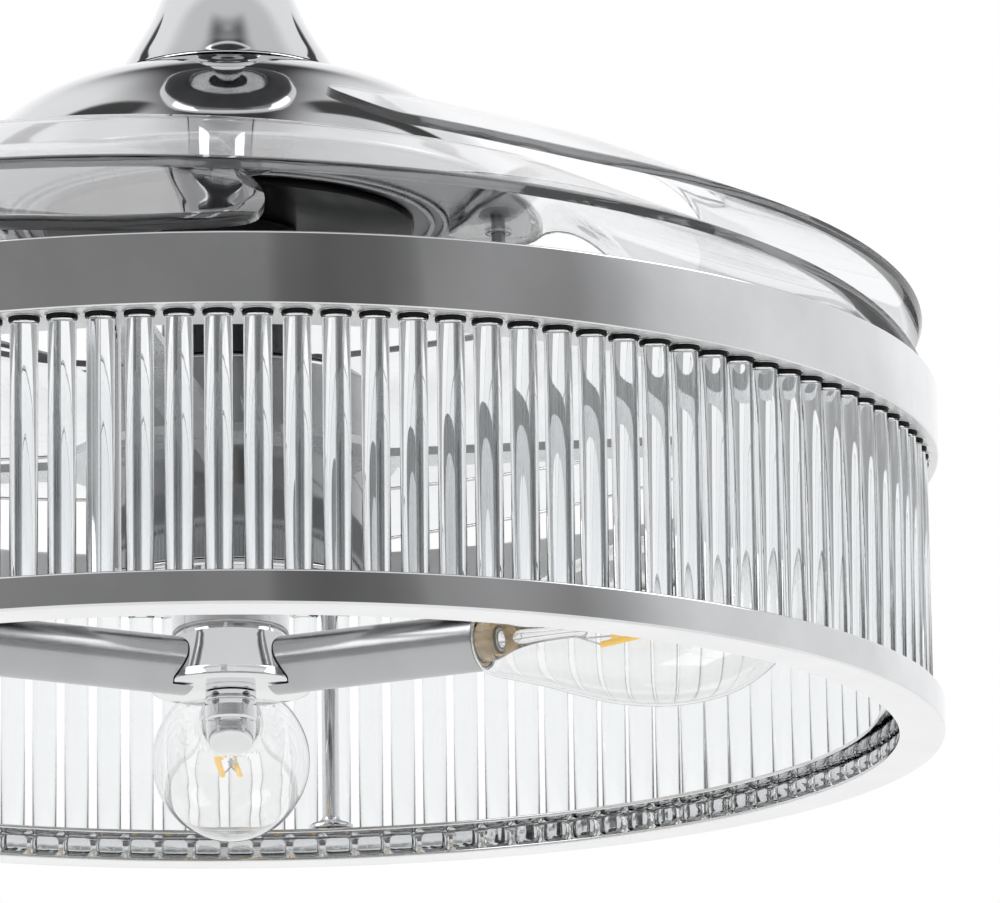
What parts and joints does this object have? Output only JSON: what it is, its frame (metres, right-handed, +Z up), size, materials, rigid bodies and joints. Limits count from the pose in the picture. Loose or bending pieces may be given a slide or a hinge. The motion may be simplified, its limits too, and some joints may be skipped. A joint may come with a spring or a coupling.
{
  "type": "ceiling fan with light",
  "caption": "Ceiling fan whose clear curved blades fold over a chrome-rimmed drum of upright glass rods with lamps inside, hung on a short downrod.",
  "frame": {"origin": "centre of the bracket's face against the ceiling", "axes": "+Z up out of the ceiling face, -Y towards the side that the picture shows, +X to its right"},
  "size_m": [0.5, 0.5, 0.499],
  "materials": {
    "chrome": "polished",
    "steel": "plain machined",
    "spring_steel": "blued",
    "grey_cast": "cast, satin",
    "magnet": "plain",
    "rod_glass": "clear, polished",
    "bulb_glass": "clear, thin",
    "clear_acrylic": "clear, polished",
    "black_plastic": "satin",
    "black_mirror": "high gloss",
    "white_plastic": "satin",
    "brass": "bright"
  },
  "bodies": {
    "ceiling_side": {"hanger_bracket": "steel", "canopy": "chrome", "canopy_screw_1": "chrome", "canopy_screw_2": "chrome", "receiver": "white_plastic"},
    "hanging": {"hanger_ball": "black_plastic", "ball_pin": "steel", "downrod": "chrome", "cover_grommet": "black_plastic", "coupling_cover": "chrome", "motor_yoke": "steel", "yoke_pin": "steel", "yoke_clip": "spring_steel", "motor_shaft": "steel", "stator": "steel", "neck_sleeve": "black_plastic", "shaft_nut": "steel", "light_housing": "chrome", "housing_base": "chrome", "drum_spider": "steel", "upper_ring": "chrome", "glass_rods": "rod_glass", "lower_ring": "chrome", "tie_post_1": "chrome", "tie_post_2": "chrome", "tie_post_3": "chrome", "tie_post_4": "chrome", "lamp_hub": "chrome", "lamp_sleeve_1": "chrome", "lamp_sleeve_2": "chrome", "lamp_sleeve_3": "chrome", "lamp_socket_1": "brass", "lamp_socket_2": "brass", "lamp_socket_3": "brass", "bulb_1": "bulb_glass", "bulb_2": "bulb_glass", "bulb_3": "bulb_glass", "finial": "chrome"},
    "rotor": {"dome_cover": "chrome", "dome_nut": "steel", "motor_cup": "grey_cast", "motor_lid": "grey_cast", "magnet_ring": "magnet", "upper_bearing": "steel", "lower_bearing": "steel", "blade_carrier": "grey_cast", "blade_plate": "grey_cast", "mirror_disc": "black_mirror", "hub_spool": "grey_cast", "return_spring": "spring_steel"},
    "sync_gear": {"sync_ring": "steel"},
    "blade_arm_1": {"blade_1": "clear_acrylic", "blade_gear_1": "steel"},
    "blade_arm_2": {"blade_2": "clear_acrylic", "blade_gear_2": "steel"},
    "blade_arm_3": {"blade_3": "clear_acrylic", "blade_gear_3": "steel"},
    "blade_arm_4": {"blade_4": "clear_acrylic", "blade_gear_4": "steel"}
  },
  "joints": [
    {"name": "downrod_tilt", "type": "hinge", "parent": "ceiling_side", "child": "hanging", "pos_m": [0, 0, -0.052], "axis": [1, 0, 0], "range_deg": [-10, 10]},
    {"name": "rotor_spin", "type": "hinge", "parent": "hanging", "child": "rotor", "pos_m": [0, 0, -0.2775], "axis": [0, 0, 1], "continuous": true},
    {"name": "blade_1_swing", "type": "hinge", "parent": "rotor", "child": "blade_arm_1", "pos_m": [0, 0.096, -0.3096], "axis": [0, 0, 1], "range_deg": [0, 150], "stiffness_Nm_per_rad": 0.02},
    {"name": "blade_2_swing", "type": "hinge", "parent": "rotor", "child": "blade_arm_2", "pos_m": [0.096, 0, -0.3096], "axis": [0, 0, 1], "range_deg": [0, 150]},
    {"name": "blade_3_swing", "type": "hinge", "parent": "rotor", "child": "blade_arm_3", "pos_m": [0, -0.096, -0.3096], "axis": [0, 0, 1], "range_deg": [0, 150]},
    {"name": "blade_4_swing", "type": "hinge", "parent": "rotor", "child": "blade_arm_4", "pos_m": [-0.096, 0, -0.3096], "axis": [0, 0, 1], "range_deg": [0, 150]},
    {"name": "sync_turn", "type": "hinge", "parent": "rotor", "child": "sync_gear", "pos_m": [0, 0, -0.3029], "axis": [0, 0, 1], "range_deg": [-10.1, 0]}
  ],
  "couplings": [
    {"joint": "blade_2_swing", "follows": "blade_1_swing", "ratio": 1},
    {"joint": "blade_3_swing", "follows": "blade_1_swing", "ratio": 1},
    {"joint": "blade_4_swing", "follows": "blade_1_swing", "ratio": 1},
    {"joint": "sync_turn", "follows": "blade_1_swing", "ratio": -0.066667}
  ]
}
